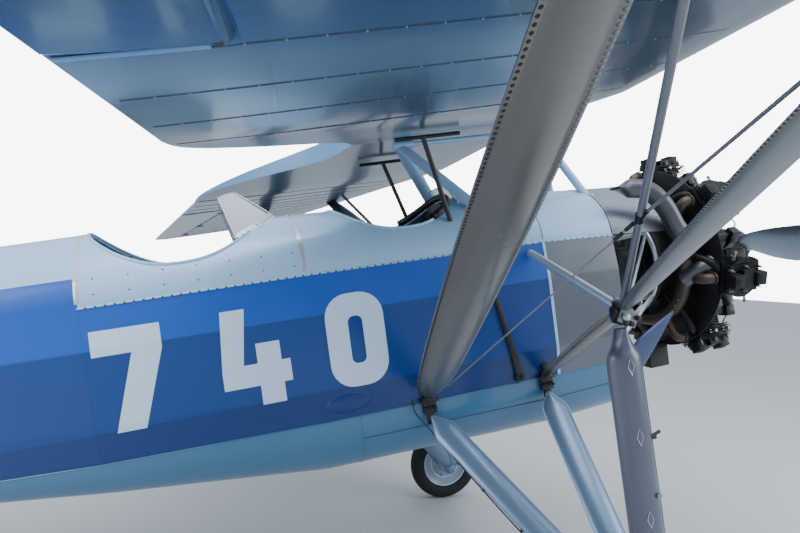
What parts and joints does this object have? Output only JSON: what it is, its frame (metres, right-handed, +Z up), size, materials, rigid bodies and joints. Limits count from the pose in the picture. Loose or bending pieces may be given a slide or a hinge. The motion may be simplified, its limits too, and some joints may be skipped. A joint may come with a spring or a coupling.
{
  "type": "parasol monoplane",
  "caption": "Two-seat open-cockpit parasol monoplane with a radial engine, braced wing, divided main gear and tail skid, parked tail-down with turning propeller, wheels and controls.",
  "frame": {"origin": "on the ground, under the centre of the parked aircraft's bounding box", "axes": "+X forward towards the propeller, +Y to the port wing tip, +Z up"},
  "size_m": [6.995, 12, 2.4756],
  "materials": {
    "blue_paint": "gloss blue enamel on smooth panels",
    "pale_blue_paint": "gloss pale blue enamel",
    "silver_blue_paint": "satin silver-blue enamel",
    "wing_cloth": "glossy doped cloth, blue-grey",
    "bare_metal": "satin bare sheet",
    "steel_tube": "painted grey steel",
    "black_engine": "black heat-proof paint",
    "burnt_pipe": "heat-stained steel",
    "dark_panel": "matt black",
    "leather": "dark stitched leather",
    "clear_sheet": "clear moulded sheet",
    "tyre": "plain tread",
    "wheel_paint": "pale enamel"
  },
  "bodies": {
    "airframe": {"cockpit_tub": "blue_paint", "rear_fuselage": "blue_paint", "rear_decking": "silver_blue_paint", "front_decking": "silver_blue_paint", "tank_decking": "silver_blue_paint", "tank_bay": "bare_metal", "turtledeck": "silver_blue_paint", "belly_front": "pale_blue_paint", "belly_rear": "pale_blue_paint", "nose_cowl_top": "silver_blue_paint", "nose_cowl_lower": "bare_metal", "seat_front": "bare_metal", "seat_rear": "bare_metal", "cushion_front": "leather", "cushion_rear": "leather", "instrument_panel_front": "dark_panel", "instrument_panel_rear": "dark_panel", "windscreen_front": "clear_sheet", "windscreen_rear": "clear_sheet", "coaming_front": "leather", "cabane_front": "steel_tube", "cabane_rear": "steel_tube", "radial_engine": "black_engine", "exhaust": "burnt_pipe", "engine_mount": "steel_tube", "tailplane": "pale_blue_paint", "fin": "blue_paint", "tail_skid": "steel_tube", "wing_starboard": "wing_cloth", "wing_strut_front_starboard": "steel_tube", "wing_strut_rear_starboard": "steel_tube", "pyramid_starboard": "steel_tube", "gear_legs_starboard": "silver_blue_paint", "shock_leg_starboard": "steel_tube", "aileron_rod_starboard": "dark_panel", "tail_brace_starboard": "steel_tube", "wing_port": "wing_cloth", "wing_strut_front_port": "steel_tube", "wing_strut_rear_port": "steel_tube", "pyramid_port": "steel_tube", "gear_legs_port": "silver_blue_paint", "shock_leg_port": "steel_tube", "aileron_rod_port": "dark_panel", "tail_brace_port": "steel_tube"},
    "wheel_starboard": {"tyre_starboard": "tyre", "rim_starboard": "wheel_paint"},
    "wheel_port": {"tyre_port": "tyre", "rim_port": "wheel_paint"},
    "propeller": {"propeller": "bare_metal"},
    "aileron_starboard": {"aileron_starboard": "wing_cloth"},
    "aileron_port": {"aileron_port": "wing_cloth"},
    "elevator_starboard": {"elevator_starboard": "pale_blue_paint"},
    "elevator_port": {"elevator_port": "pale_blue_paint"},
    "rudder": {"rudder": "blue_paint"}
  },
  "joints": [
    {"name": "wheel_starboard_spin", "type": "hinge", "parent": "airframe", "child": "wheel_starboard", "pos_m": [2.07445, -1.19, 0.245], "axis": [0, 1, 0], "continuous": true},
    {"name": "wheel_port_spin", "type": "hinge", "parent": "airframe", "child": "wheel_port", "pos_m": [2.07445, 1.19, 0.245], "axis": [0, 1, 0], "continuous": true},
    {"name": "propeller_spin", "type": "hinge", "parent": "airframe", "child": "propeller", "pos_m": [3.38283, 0, 1.83087], "axis": [0.9837, 0, 0.1797], "continuous": true},
    {"name": "aileron_starboard_hinge", "type": "hinge", "parent": "airframe", "child": "aileron_starboard", "pos_m": [0.20551, -3.4925, 1.98425], "axis": [0.1488, 0.9887, 0.0202], "range_deg": [-20, 20]},
    {"name": "aileron_port_hinge", "type": "hinge", "parent": "airframe", "child": "aileron_port", "pos_m": [0.20551, 3.4925, 1.98425], "axis": [-0.1488, 0.9887, -0.0202], "range_deg": [-20, 20]},
    {"name": "elevator_starboard_hinge", "type": "hinge", "parent": "airframe", "child": "elevator_starboard", "pos_m": [-2.83617, -0.9, 0.97259], "axis": [0, 1, 0], "range_deg": [-25, 25]},
    {"name": "elevator_port_hinge", "type": "hinge", "parent": "airframe", "child": "elevator_port", "pos_m": [-2.83617, 0.9, 0.97259], "axis": [0, 1, 0], "range_deg": [-25, 25]},
    {"name": "rudder_hinge", "type": "hinge", "parent": "airframe", "child": "rudder", "pos_m": [-2.93713, 0, 1.05784], "axis": [-0.1797, 0, 0.9837], "range_deg": [-25, 25]}
  ],
  "couplings": [
    {"joint": "aileron_port_hinge", "follows": "aileron_starboard_hinge", "ratio": -1},
    {"joint": "elevator_port_hinge", "follows": "elevator_starboard_hinge", "ratio": 1}
  ]
}
